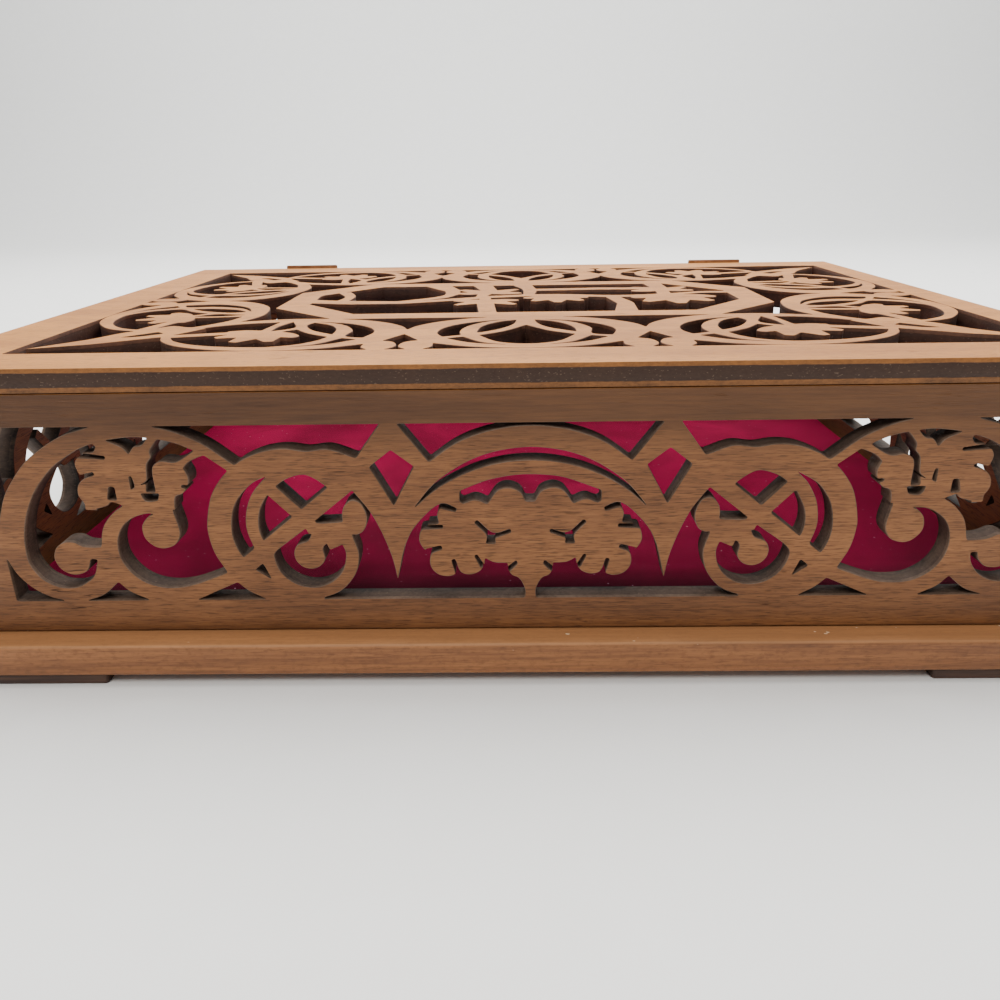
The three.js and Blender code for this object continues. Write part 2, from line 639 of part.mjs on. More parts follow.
// One leaf with its share of the knuckles, 0 being the leaf with the outer knuckles.
function hingeLeaf(share, bottom, top) {
  const knuckle = HINGE_WIDTH / KNUCKLES;
  const flat = new THREE.BoxGeometry(HINGE_WIDTH, LEAF_THICKNESS, top - bottom);
  flat.translate(0, leafFace + LEAF_THICKNESS / 2, (top + bottom) / 2);
  const bore = rod(PIN_RADIUS + PIN_CLEARANCE, 2 * HINGE_WIDTH);
  let body = solidOf(flat);
  for (let i = 0; i < KNUCKLES; i += 1) {
    const x = (i - (KNUCKLES - 1) / 2) * knuckle;
    const mine = i % 2 === share;
    const slack = mine ? 0 : KNUCKLE_GAP;
    const barrel = rod(KNUCKLE_RADIUS + slack, knuckle - KNUCKLE_GAP + 2 * slack);
    const placed = barrel.translate([x, pinY, pinZ]);
    body = mine ? body.add(placed) : body.subtract(placed);
  }
  return geometryOf(body.subtract(bore.translate([0, pinY, pinZ])));
}

for (const [side, x] of [['left', -1], ['right', 1]]) {
  const place = [x * (BOX_LENGTH / 2 - HINGE_INSET), 0, 0];
  piece(`hinge_${side}_wall_leaf`, hingeLeaf(0, pinZ - WALL_LEAF_HEIGHT, wallTop), bronze, place);
  piece(`hinge_${side}_lid_leaf`, hingeLeaf(1, lidBottom, lidTop + LID_LEAF_PROUD), bronze, place);
  const pin = rod(PIN_RADIUS, HINGE_WIDTH).translate([0, pinY, pinZ]);
  piece(`hinge_${side}_pin`, geometryOf(pin), bronze, place);
}

export default model;
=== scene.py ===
"""Hinged keepsake box: laser-cut plywood fretwork round a velvet floor. Metres, +X right, +Y back, +Z up."""
import math
from collections import namedtuple

import bmesh
import bpy
import numpy as np
from mathutils import Matrix, Vector, geometry, noise


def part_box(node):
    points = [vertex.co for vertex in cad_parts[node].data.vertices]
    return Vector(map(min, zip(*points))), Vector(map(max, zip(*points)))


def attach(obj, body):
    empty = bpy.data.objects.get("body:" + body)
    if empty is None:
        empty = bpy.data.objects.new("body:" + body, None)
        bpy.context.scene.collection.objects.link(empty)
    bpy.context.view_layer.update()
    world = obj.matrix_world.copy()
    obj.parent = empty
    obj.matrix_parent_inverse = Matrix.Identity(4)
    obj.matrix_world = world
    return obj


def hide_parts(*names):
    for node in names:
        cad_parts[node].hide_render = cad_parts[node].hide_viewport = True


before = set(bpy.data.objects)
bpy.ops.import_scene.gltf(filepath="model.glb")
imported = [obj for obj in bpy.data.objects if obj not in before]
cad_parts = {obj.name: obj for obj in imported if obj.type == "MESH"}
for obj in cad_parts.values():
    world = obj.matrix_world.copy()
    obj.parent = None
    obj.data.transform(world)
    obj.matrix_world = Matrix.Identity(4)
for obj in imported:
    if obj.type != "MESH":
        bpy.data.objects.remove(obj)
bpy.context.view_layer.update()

MM = 0.001

# Camera, in metres, degrees and the photo's pixels
CAMERA_PLACE = Vector((-0.0005, -0.3110, 0.1256))
CAMERA_YAW, CAMERA_PITCH, CAMERA_ROLL = -0.98, 21.27, 0.89
FOCAL_PIXELS = 835
PHOTO_WIDTH = 1000
SENSOR = 36

# Lights, in metres and watts
Lamp = namedtuple("Lamp", "name place target size watts colour")
LAMPS = [
    Lamp("softbox_backdrop", (0, 0.75, 1.4), (0, 2.2, 0.5), (2.4, 0.6), 46, (1.0, 1.0, 1.0)),
    Lamp("softbox_above", (0.1, 0.35, 1.1), (0, 0, 0.05), (1.3, 1.0), 34, (1.0, 0.985, 0.96)),
    Lamp("softbox_front", (-0.4, -0.95, 1.25), (0, 0, 0.05), (0.8, 0.6), 13, (1.0, 0.97, 0.93)),
]
AIR_COLOUR = (0.83, 0.85, 0.88, 1)
AIR_STRENGTH = 0.4

# Backdrop, in metres
FLOOR_FRONT = -3.0
FLOOR_BACK = 1.4
COVE_RADIUS = 0.8
COVE_STEPS = 12
BACKDROP_TOP = 3.5
BACKDROP_HALF_WIDTH = 4.5

# Fretwork panels: how the CAD facets are smoothed and how their edges are broken
EDGE_BREAK = 0.16 * MM
SMOOTH_STEP = 0.7 * MM
KERF_ROUNDING = 0.55 * MM
KERF_LEAST = 0.2 * MM
KERF_STEPS = 4
KERF_SHARE = 0.42
KERF_CLEAR = 1.3
BEND_BY_STRAIGHT = 15
BEND_OF_CORNER = 20
FOLD_LIMIT = 0.2
MITRE_LEAST = 0.5
INSET_SHARE = 0.4
TO_MICRONS = 1e6
SHADE_ANGLE = math.radians(38)

# The sheets' plies, and where the walls stand on the base
TOP_SKIN = 1.1 * MM
UNDER_SKIN = 1.3 * MM
PLY_BLUR = 0.1 * MM
WALL_FOOT = 12 * MM

# A turn above corner_turn degrees stays sharp, and an edge longer than straight isn't curved
Panel = namedtuple("Panel", "node body normal corner_turn straight slot")
PANELS = [
    Panel("front_wall", "box", (0, -1, 0), 60, 13 * MM, "wall_wood"),
    Panel("back_wall", "box", (0, 1, 0), 85, 22 * MM, "wall_wood"),
    Panel("left_wall", "box", (-1, 0, 0), 85, 22 * MM, "wall_wood"),
    Panel("right_wall", "box", (1, 0, 0), 85, 22 * MM, "wall_wood"),
    Panel("lid_panel", "lid", (0, 0, 1), 68, 16 * MM, "lid_wood"),
]

# Rounded boards: steps round an edge, round a corner and along the short and long sides
EDGE_STEPS = 6
CORNER_STEPS = 6
SIDE_STEPS = (48, 60)
LEAST_CORNER = 0.2 * MM
RIM_WAVES = ((90, 1.0), (310, 0.6))
BASE_CORNER = 3 * MM
BASE_ROUNDING = 1.0 * MM
BASE_DENTS = 0.1 * MM
FOOT_CORNER = 1 * MM
FOOT_ROUNDING = 0.4 * MM

# The velvet pad: cloth pressure and stiffness, then the swell and the crease along its front
PAD_GRID = 3.4 * MM
PAD_LAYERS = 2
PAD_CAP = 1.3 * MM
PAD_SHRINK = 1.2 * MM
PAD_SINK = 0.7
PAD_FRAMES = 16
PAD_PRESSURE = 2.5
PAD_STIFFNESS = 30
SWELL_X, SWELL_Y, SWELL_SHARE = 34, 26, 0.5
CREASE_INSET = 19 * MM
CREASE_WAVE = 3 * MM
CREASE_TURNS = 21
CREASE_WIDTH = 1.8 * MM
CREASE_SHARE = 0.9
PAD_RELIEF = 0.5 * MM

# Hinges: the end profiles list how far in from the end, and the radius lost or kept there
LEAF_THICKNESS = 1.1 * MM
LEAF_ROUNDING = 0.22 * MM
LEAF_EASE = 0.35
LEAF_CORNER = 0.6 * MM
KNUCKLES = 3
KNUCKLE_SPLIT = 0.4 * MM
KNUCKLE_SIDES = 32
KNUCKLE_END = [(0, 0.2 * MM), (0.08 * MM, 0.06 * MM), (0.22 * MM, 0)]
PIN_HEAD = 0.25 * MM
PIN_DOME = [(0, 0.4), (0.3, 0.8), (1, 1)]
BORE_CLEARANCE = 0.08 * MM
SEAM_HALF = 0.15 * MM
TAB_LAP = 0.8 * MM
Leaf = namedtuple("Leaf", "name body knuckles sign")
LEAVES = [Leaf("wall_leaf", "box", (0, 2), -1), Leaf("lid_leaf", "lid", (1,), 1)]


def srgb(red, green, blue):
    """A colour read off in 0 to 255 becomes the linear colour that a shader takes."""
    shares = [value / 255 for value in (red, green, blue)]
    linear = [((c + 0.055) / 1.055) ** 2.4 if c > 0.04 else c / 12.92 for c in shares]
    return (*linear, 1)


class Signal:
    """A number or colour that runs through a shader; Python's operators add its Math nodes."""

    def __init__(self, finish, socket):
        self.finish, self.socket = finish, socket

    def math(self, operation, *others):
        return self.finish.add("ShaderNodeMath", {"operation": operation}, dict(enumerate((self, *others))))

    def __add__(self, other):
        return self.math("ADD", other)

    def __sub__(self, other):
        return self.math("SUBTRACT", other)

    def __rsub__(self, other):
        return self.finish.number(other).math("SUBTRACT", self)

    def __mul__(self, other):
        return self.math("MULTIPLY", other)

    __radd__ = __add__
    __rmul__ = __mul__

    def ramp(self, low, high):
        """0 below low, 1 above high and smooth between."""
        values = {0: self, 1: low, 2: high, 3: 0.0, 4: 1.0}
        return self.finish.add("ShaderNodeMapRange", {"interpolation_type": "SMOOTHSTEP"}, values)


class Finish:
    """A material and the one way that nodes are added to it."""

    def __init__(self, name, **constants):
        self.material = bpy.data.materials.new(name)
        self.material.use_nodes = True
        self.tree = self.material.node_tree
        self.shader = self.tree.nodes["Principled BSDF"]
        for socket, value in constants.items():
            self.shader.inputs[socket.replace("_", " ")].default_value = value
        self.here = self.add("ShaderNodeTexCoord", out="Object")

    def add(self, kind, settings=None, values=None, out=0):
        node = self.tree.nodes.new(kind)
        for name, value in (settings or {}).items():
            setattr(node, name, value)
        for key, value in (values or {}).items():
            if isinstance(value, Signal):
                self.tree.links.new(value.socket, node.inputs[key])
            else:
                node.inputs[key].default_value = value
        return Signal(self, node.outputs[out])

    def number(self, value):
        return self.add("ShaderNodeMath", {"operation": "ADD"}, {0: value, 1: 0.0})

    def stretched(self, scale, shift=(0, 0, 0)):
        values = {0: self.here, 1: scale, 2: shift}
        return self.add("ShaderNodeVectorMath", {"operation": "MULTIPLY_ADD"}, values)

    def axis(self, index):
        return self.add("ShaderNodeSeparateXYZ", values={0: self.here}, out=index)

    def noise(self, scale, detail=4.0, rough=0.55, shift=(0, 0, 0), warp=0.0):
        values = {"Vector": self.stretched(scale, shift), "Scale": 1.0, "Detail": detail, "Roughness": rough}
        return self.add("ShaderNodeTexNoise", values={**values, "Distortion": warp})

    def mix(self, amount, first, second):
        settings = {"data_type": "RGBA", "clamp_factor": True}
        return self.add("ShaderNodeMix", settings, {0: amount, 6: first, 7: second}, out=2)

    def paint(self, **signals):
        for socket, signal in signals.items():
            self.tree.links.new(signal.socket, self.shader.inputs[socket.replace("_", " ")])

    def bump(self, height, distance, strength=1.0):
        values = {"Height": height, "Distance": distance, "Strength": strength}
        self.paint(Normal=self.add("ShaderNodeBump", values=values))


def grain(finish, along, coarse, fine, detail=4.0, rough=0.6, shift=(0, 0, 0), warp=0.0):
    """Noise drawn out along one axis; coarse and fine are its figures per metre along and across the grain."""
    scale = [fine] * 3
    scale[along] = coarse
    return finish.noise(tuple(scale), detail, rough, shift, warp)


def darker(colour, share):
    """The colour with its light cut down to a share."""
    return tuple(c * share for c in colour[:3]) + (1,)


def veneer(name, light, dark, along, gloss=0.5, pores=1.0, shine=0.3, shaded=None):
    """Varnished thin-ply face: broad streaks, fine fibres, short open pores and a few dark checks; when shaded
    is given, also painted shade on the top rail and the bottom rail and a painted shadow line at the wall's
    foot.
    """
    finish = Finish(name, Roughness=gloss, Specular_IOR_Level=shine)
    streaks = grain(finish, along, 5, 95, 3.0, 0.5, warp=0.5)
    clouds = finish.noise((22, 22, 30), 3.0, 0.55, shift=(9, 4, 2))
    fibres = grain(finish, along, 70, 1500, 4.0, 0.7)
    hair = grain(finish, along, 240, 3600, 2.0, 0.6, shift=(3, 5, 7))
    tone = streaks.ramp(0.34, 0.68) * 0.34 + clouds.ramp(0.3, 0.7) * 0.26 + fibres.ramp(0.28, 0.72) * 0.4
    colour = finish.mix(tone, dark, light)
    open_pores = hair.ramp(0.5, 0.66) * pores
    colour = finish.mix(open_pores * 0.7, colour, darker(dark, 0.5))
    checks = grain(finish, along, 170, 1700, 1.0, 0.4, shift=(11, 2, 9)).ramp(0.67, 0.74)
    worn = finish.noise((46, 46, 46), 3.0, 0.6, shift=(1, 8, 4))
    checks = checks * worn.ramp(0.5, 0.62) * pores
    colour = finish.mix(checks * 0.85, colour, darker(dark, 0.2))
    if shaded:
        low, high, sill, top_share, sill_share = shaded
        height = finish.axis(2)
        # Painted shade: the top rail and the bottom rail are darkened towards a shaded copy of the veneer.
        rail_shade = height.ramp(low, high) * top_share + (1 - height.ramp(sill, sill + 0.016)) * sill_share
        colour = finish.mix(rail_shade, colour, finish.mix(tone, darker(dark, 0.45), darker(light, 0.42)))
        # Painted shade: a thin dark line at the foot of the wall, where it meets the base.
        seam = 1 - height.ramp(WALL_FOOT + 0.2 * MM, WALL_FOOT + 0.8 * MM)
        colour = finish.mix(seam * 0.85, colour, darker(dark, 0.2))
    finish.paint(Base_Color=colour, Roughness=fibres * 0.2 + (gloss - 0.1) + checks * 0.2)
    finish.bump(fibres * 0.5 + (1 - open_pores) * 0.35 - checks * 1.2, 0.00012, 0.55)
    return finish.material


def ply_edge(name, axis, outer, sign, thickness, tones, char_and_shade_share):
    """Sheet edge in three plies by depth from the outer face, with patchy laser char and painted shade that
    darkens it towards the inner face; tones are the skins, the core and the char.
    """
    finish = Finish(name, Roughness=0.62, Specular_IOR_Level=0.3)
    depth = (finish.axis(axis) * -sign) + outer * sign
    wander = (finish.noise((190, 190, 190), 3.0, 0.6) - 0.5) * (0.42 * MM)
    level = depth + wander
    core_end = thickness - UNDER_SKIN
    in_core = level.ramp(TOP_SKIN - PLY_BLUR, TOP_SKIN + PLY_BLUR)
    past_core = level.ramp(core_end - PLY_BLUR, core_end + PLY_BLUR)
    core = in_core * (1 - past_core)
    fuzz = finish.noise((700, 900, 1500), 4.0, 0.7)
    cloud = finish.noise((80, 80, 80), 3.0, 0.6, shift=(4, 1, 2))
    # Painted shade: the cut face darkens from halfway through the sheet to its inner face.
    inner_shade = depth.ramp(thickness * 0.5, thickness) * char_and_shade_share
    char_and_shade = cloud.ramp(0.3, 0.7) * (char_and_shade_share * 0.8) + fuzz.ramp(0.35, 0.7) * 0.28 + inner_shade
    skin, middle, char = tones
    colour = finish.mix(char_and_shade, finish.mix(core, skin, middle), char)
    flecks = finish.noise((1400, 1400, 2600), 1.0, 0.5, shift=(7, 7, 1)).ramp(0.66, 0.74) * core
    colour = finish.mix(flecks * 0.3, colour, srgb(132, 108, 90))
    finish.paint(Base_Color=colour, Roughness=0.5 + fuzz * 0.25)
    finish.bump(fuzz * 0.6 + (1 - core) * 0.4, 0.00018, 0.6)
    return finish.material


def velvet():
    """Short pile, brushed into lighter and darker patches, with painted shade towards the front wall, in the
    corner along it and at the right side, and a little lint.
    """
    sheen = {"Sheen_Weight": 0.9, "Sheen_Roughness": 0.35}
    finish = Finish("velvet_pile", Roughness=0.92, Specular_IOR_Level=0.15, **sheen)
    finish.shader.inputs["Sheen Tint"].default_value = srgb(255, 20, 110)
    nap = finish.noise((26, 26, 26), 4.0, 0.6, warp=1.2)
    pile = finish.noise((2600, 2600, 900), 3.0, 0.7)
    colour = finish.mix(nap.ramp(0.3, 0.72), srgb(118, 0, 44), srgb(170, 2, 69))
    colour = finish.mix(pile.ramp(0.35, 0.75) * 0.35, colour, srgb(214, 16, 96))
    # Painted shade: the pad darkens towards the front wall, and more on its rolled front edge.
    front_shade = finish.axis(1).ramp(-0.1, 0.02)
    rolled_front_shade = 1 - finish.axis(1).ramp(-0.107, -0.076)
    colour = finish.mix((1 - front_shade) * 0.52 + rolled_front_shade * 0.42, colour, srgb(58, 0, 22))
    # Painted shade: near black in the corner against the front wall, and darker towards the right wall.
    front_corner_shade = 1 - finish.axis(1).ramp(-0.106, -0.086)
    right_shade = finish.axis(0).ramp(0.09, 0.135)
    colour = finish.mix(front_corner_shade * 0.8 + right_shade * 0.35, colour, srgb(26, 0, 9))
    lint = finish.noise((900, 900, 900), 0.0, 0.5, shift=(6, 6, 1)).ramp(0.82, 0.86)
    colour = finish.mix(lint * 0.6, colour, srgb(214, 150, 176))
    finish.paint(Base_Color=colour, Roughness=0.82 + pile * 0.16)
    finish.bump(pile * 0.7 + nap * 0.3, 0.0004, 0.7)
    return finish.material


def bronze():
    """Dull bronzed steel, worn brighter in patches."""
    finish = Finish("bronzed_hinge", Metallic=0.85, Roughness=0.42)
    wear = finish.noise((240, 240, 240), 5.0, 0.6)
    brushed = finish.noise((120, 1800, 1800), 3.0, 0.6)
    colour = finish.mix(wear.ramp(0.3, 0.8), srgb(138, 109, 84), srgb(184, 149, 115))
    finish.paint(Base_Color=colour, Roughness=0.34 + wear * 0.2)
    finish.bump(brushed, 0.00004, 0.5)
    return finish.material


def base_wood():
    """Oiled solid board with bolder figure, small dark knots, painted light that turns its top face paler, and
    chips along its edge.
    """
    oil = {"Coat_Weight": 0.06, "Coat_Roughness": 0.4}
    finish = Finish("base_board_wood", Roughness=0.5, Specular_IOR_Level=0.35, **oil)
    streaks = grain(finish, 0, 4, 170, 3.0, 0.55, shift=(0, 31, 17), warp=0.7)
    fibres = grain(finish, 0, 50, 1300, 4.0, 0.7)
    hair = grain(finish, 0, 200, 3400, 2.0, 0.6, shift=(3, 5, 7))
    tone = streaks.ramp(0.34, 0.68) * 0.5 + fibres.ramp(0.28, 0.72) * 0.5
    colour = finish.mix(tone, srgb(106, 64, 36), srgb(162, 107, 63))
    colour = finish.mix(hair.ramp(0.56, 0.7) * 0.5, colour, srgb(84, 48, 26))
    mottle = finish.noise((520, 700, 900), 3.0, 0.7, shift=(5, 9, 1))
    colour = finish.mix(mottle.ramp(0.46, 0.7) * 0.38, colour, srgb(92, 56, 30))
    knots = grain(finish, 0, 9, 60, 2.0, 0.5, shift=(4, 3, 8)).ramp(0.68, 0.8)
    colour = finish.mix(knots * 0.6, colour, srgb(70, 44, 34))
    chips = finish.noise((240, 420, 620), 2.0, 0.6, shift=(2, 7, 3)).ramp(0.73, 0.76)
    height = finish.axis(2)
    arris = height.ramp(9.6 * MM, 10.8 * MM)
    # Painted light: the top face of the board is turned paler, as lit from above.
    lit_top = height.ramp(11.2 * MM, 11.9 * MM)
    colour = finish.mix(lit_top * 0.38, colour, srgb(204, 148, 98))
    colour = finish.mix(chips * arris, colour, srgb(232, 200, 160))
    finish.paint(Base_Color=colour, Roughness=0.42 + fibres * 0.2)
    finish.bump(fibres * 0.6 + streaks * 0.3 - chips * arris, 0.00016, 0.55)
    return finish.material


def foot_wood():
    """Plain wood with fine fibres, made very dark as painted shade under the base."""
    finish = Finish("foot_strip_shaded_wood", Roughness=0.7)
    fibres = finish.noise((30, 700, 700), 4.0, 0.6)
    # Painted shade: both tones are darkened to the shade under the base.
    colour = finish.mix(fibres.ramp(0.3, 0.7), srgb(44, 29, 23), srgb(80, 55, 42))
    finish.paint(Base_Color=colour, Roughness=0.6 + fibres * 0.2)
    finish.bump(fibres, 0.0001, 0.5)
    return finish.material


# Tones of the sheets: light and dark figure, then skin, core and char of each cut edge
LID_LIGHT, LID_DARK = srgb(200, 134, 62), srgb(144, 87, 32)
WALL_LIGHT, WALL_DARK = srgb(156, 104, 62), srgb(94, 57, 31)
INNER_LIGHT, INNER_DARK = srgb(140, 92, 60), srgb(92, 56, 36)
# Painted shade on the walls: the heights over which the top rail and the bottom rail darken, and how much.
WALL_SHADING = (0.056, 0.072, 0.014, 1.0, 0.3)
# Painted light and shade in the cut tones: the walls' cut edges paler and greyer, as lit from above, the lid's
# darker, as shaded inside its holes.
LID_CUT_SHADED = srgb(104, 66, 46), srgb(74, 46, 34), srgb(36, 22, 17)
WALL_CUT_LIT = srgb(122, 99, 82), srgb(92, 74, 62), srgb(42, 33, 28)
RIM_PLIES = srgb(145, 93, 46), srgb(60, 40, 29), srgb(38, 24, 18)


def add_object(name, data, body=None, replaced=()):
    """An object in the scene, with its body and the CAD nodes that it replaces."""
    piece = bpy.data.objects.new(name, data)
    bpy.context.scene.collection.objects.link(piece)
    if body:
        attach(piece, body)
    if replaced:
        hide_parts(*replaced)
    return piece


def mesh_from(work, name, *looks):
    """The mesh of a bmesh that is finished with, and its materials."""
    mesh = bpy.data.meshes.new(name)
    work.to_mesh(mesh)
    work.free()
    for look in looks:
        mesh.materials.append(look)
    return mesh


def join_rings(work, rings, is_loop=False):
    """Faces between rings of one count; a loop joins the last ring to the first, and a run gets two caps."""
    for first, second in zip(rings, rings[1:] + rings[:1] if is_loop else rings[1:]):
        for k in range(len(first)):
            onward = (k + 1) % len(first)
            work.faces.new((first[k], second[k], second[onward], first[onward]))
    if not is_loop:
        work.faces.new(rings[0])
        work.faces.new(rings[-1][::-1])


def soften(mesh):
    """Smooth shading with sharp creases where faces meet at a steep angle."""
    mesh.shade_smooth()
    mesh.set_sharp_from_angle(angle=SHADE_ANGLE)


def face_outlines(node, normal):
    """The closed outlines of a panel's outer face as lists of 2-D points, wood on the left."""
    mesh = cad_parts[node].data
    normal = Vector(normal)
    flat_axis = max(range(3), key=lambda i: abs(normal[i]))
    right = Vector((0, 0, 1)).cross(normal) if flat_axis != 2 else Vector((1, 0, 0))
    up = normal.cross(right)
    places, keys, edges = {}, [], set()
    for vertex in mesh.vertices:
        key = tuple(round(c * TO_MICRONS) for c in vertex.co)
        keys.append(key)
        places[key] = vertex.co
    outermost = max(vertex.co.dot(normal) for vertex in mesh.vertices)
    for face in mesh.polygons:
        if face.normal.dot(normal) > 0.9 and face.center.dot(normal) > outermost - 0.1 * MM:
            loop = [keys[i] for i in face.vertices]
            edges.update(zip(loop, loop[1:] + loop[:1]))
    following = {}
    for start, end in sorted(edges):
        if (end, start) not in edges:
            following.setdefault(start, []).append(end)
    outlines = []
    while following:
        at = min(following)
        ring = []
        while at in following:
            ring.append(Vector((places[at].dot(right), places[at].dot(up))))
            onward = following[at].pop()
            if not following[at]:
                del following[at]
            at = onward
        outlines.append(ring)
    return outlines, right, up, normal, outermost


def smooth_outline(ring, corner_turn, straight):
    """Curves through the facets' corners, but keeps true corners sharp and long edges straight."""
    count = len(ring)
    legs = [(ring[(i + 1) % count] - ring[i]) for i in range(count)]
    is_straight = [leg.length > straight for leg in legs]
    turns = [abs(math.degrees(legs[i - 1].angle_signed(legs[i]))) for i in range(count)]
    sharp = []
    for i in range(count):
        limit = BEND_BY_STRAIGHT if is_straight[i - 1] or is_straight[i] else corner_turn
        sharp.append(turns[i] > limit)
    points = []
    for i in range(count):
        a, b = ring[i], ring[(i + 1) % count]
        reach = min(KERF_ROUNDING, legs[i - 1].length * KERF_SHARE, legs[i].length * KERF_SHARE)
        if sharp[i] and turns[i] > BEND_OF_CORNER and reach > KERF_LEAST:
            points += kerf_corner(a - legs[i - 1].normalized() * reach, a, a + legs[i].normalized() * reach)
        else:
            points.append(a)
        if is_straight[i] or (sharp[i] and sharp[(i + 1) % count]):
            continue
        before = a - (b - a) if sharp[i] else ring[i - 1]
        after = b + (b - a) if sharp[(i + 1) % count] else ring[(i + 2) % count]
        steps = max(2, round((b - a).length / SMOOTH_STEP))
        curve = [centripetal(before, a, b, after, k / steps) for k in range(1, steps)]
        if sharp[i]:
            curve = [p for p in curve if (p - a).length > reach * KERF_CLEAR]
        if sharp[(i + 1) % count]:
            curve = [p for p in curve if (p - b).length > KERF_ROUNDING * KERF_CLEAR]
        points += curve
    return points


def kerf_corner(start, corner, end):
    """The small round that a laser leaves in a corner."""
    shares = [k / KERF_STEPS for k in range(KERF_STEPS + 1)]
    return [start * (1 - t) ** 2 + corner * (2 * t * (1 - t)) + end * t ** 2 for t in shares]


def centripetal(p0, p1, p2, p3, share):
    """A point on the centripetal Catmull-Rom curve from p1 to p2."""
    t0 = 0.0
    t1 = t0 + math.sqrt((p1 - p0).length)
    t2 = t1 + math.sqrt((p2 - p1).length)
    t3 = t2 + math.sqrt((p3 - p2).length)
    t = t1 + (t2 - t1) * share
    a1 = p0 * ((t1 - t) / (t1 - t0)) + p1 * ((t - t0) / (t1 - t0))
    a2 = p1 * ((t2 - t) / (t2 - t1)) + p2 * ((t - t1) / (t2 - t1))
    a3 = p2 * ((t3 - t) / (t3 - t2)) + p3 * ((t - t2) / (t3 - t2))
    b1 = a1 * ((t2 - t) / (t2 - t0)) + a2 * ((t - t0) / (t2 - t0))
    b2 = a2 * ((t3 - t) / (t3 - t1)) + a3 * ((t - t1) / (t3 - t1))
    return b1 * ((t2 - t) / (t2 - t1)) + b2 * ((t - t1) / (t2 - t1))


def broken_edge(ring, amount):
    """The ring drawn into the wood by amount, with short mitres at sharp corners."""
    count = len(ring)
    inner = []
    for i in range(count):
        before = (ring[i] - ring[i - 1]).normalized()
        after = (ring[(i + 1) % count] - ring[i]).normalized()
        side = Vector((-before.y - after.y, before.x + after.x))
        if side.length < FOLD_LIMIT:
            side = Vector((-after.y, after.x))
        side.normalize()
        lean = max(MITRE_LEAST, side.dot(Vector((-after.y, after.x))))
        room = INSET_SHARE * min((ring[i] - ring[i - 1]).length, (ring[(i + 1) % count] - ring[i]).length)
        inner.append(ring[i] + side * min(amount / lean, room))
    return inner


def sheet_triangles(rings):
    """Triangles over the wood between closed rings, and the few extra points that they need."""
    points = [p for ring in rings for p in ring]
    edges, first = [], 0
    for ring in rings:
        count = len(ring)
        edges += [(first + i, first + (i + 1) % count) for i in range(count)]
        first += count
    in_mm = [p / MM for p in points]
    found, _, faces, sources, _, _ = geometry.delaunay_2d_cdt(in_mm, edges, [], 0, 1e-5)
    starts = np.array([in_mm[a] for a, b in edges])
    ends = np.array([in_mm[b] for a, b in edges])
    places = list(points)
    index = []
    for place, source in zip(found, sources):
        if not source:
            places.append(place * MM)
        index.append(source[0] if source else len(places) - 1)
    triangles = []
    for face in faces:
        middle = (found[face[0]] + found[face[1]] + found[face[2]]) / 3
        spans = (starts[:, 1] > middle.y) != (ends[:, 1] > middle.y)
        a, b = starts[spans], ends[spans]
        meets = a[:, 0] + (middle.y - a[:, 1]) * (b[:, 0] - a[:, 0]) / (b[:, 1] - a[:, 1])
        corners = [index[v] for v in face]
        if np.count_nonzero(meets > middle.x) % 2 and len(set(corners)) == 3:
            triangles.append(corners)
    return triangles, places


def cut_panel(panel, looks):
    """A fretwork sheet: smooth outlines, broken edges, veneer faces and cut edges in their own materials."""
    outlines, right, up, normal, outermost = face_outlines(panel.node, panel.normal)
    low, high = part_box(panel.node)
    thickness = (high - low).dot(Vector([abs(c) for c in normal]))
    rings = [smooth_outline(ring, panel.corner_turn, panel.straight) for ring in outlines]
    insets = [broken_edge(ring, EDGE_BREAK) for ring in rings]
    triangles, flat = sheet_triangles(insets)
    levels = [(insets, 0), (rings, EDGE_BREAK), (rings, thickness - EDGE_BREAK), (insets, thickness)]
    work = bmesh.new()
    rows = []
    for group, depth in levels:
        at = normal * (outermost - depth)
        rows.append([[work.verts.new(right * p.x + up * p.y + at) for p in ring] for ring in group])
    top = [v for ring in rows[0] for v in ring]
    bottom = [v for ring in rows[-1] for v in ring]
    for p in flat[len(top):]:
        top.append(work.verts.new(right * p.x + up * p.y + normal * outermost))
        bottom.append(work.verts.new(right * p.x + up * p.y + normal * (outermost - thickness)))
    for a, b, c in triangles:
        facing = (flat[b] - flat[a]).cross(flat[c] - flat[a])
        order = (a, b, c) if facing > 0 else (a, c, b)
        for vertices, material in ((order, 0), (order[::-1], 1)):
            source = top if material == 0 else bottom
            work.faces.new([source[i] for i in vertices]).material_index = material
    largest = max(range(len(rings)), key=lambda k: ring_span(rings[k]))
    for upper, lower in zip(rows, rows[1:]):
        for k, (ring_a, ring_b) in enumerate(zip(upper, lower)):
            count = len(ring_a)
            for i in range(count):
                j = (i + 1) % count
                face = work.faces.new((ring_a[i], ring_b[i], ring_b[j], ring_a[j]))
                face.material_index = 2 if k == largest else 3
    mesh = mesh_from(work, panel.node + "_fretwork", *looks)
    soften(mesh)
    return add_object(panel.node + "_fretwork", mesh, panel.body, [panel.node])


def ring_span(ring):
    """How far apart the opposite corners of a ring's bounding rectangle are."""
    xs, ys = [p.x for p in ring], [p.y for p in ring]
    return math.hypot(max(xs) - min(xs), max(ys) - min(ys))


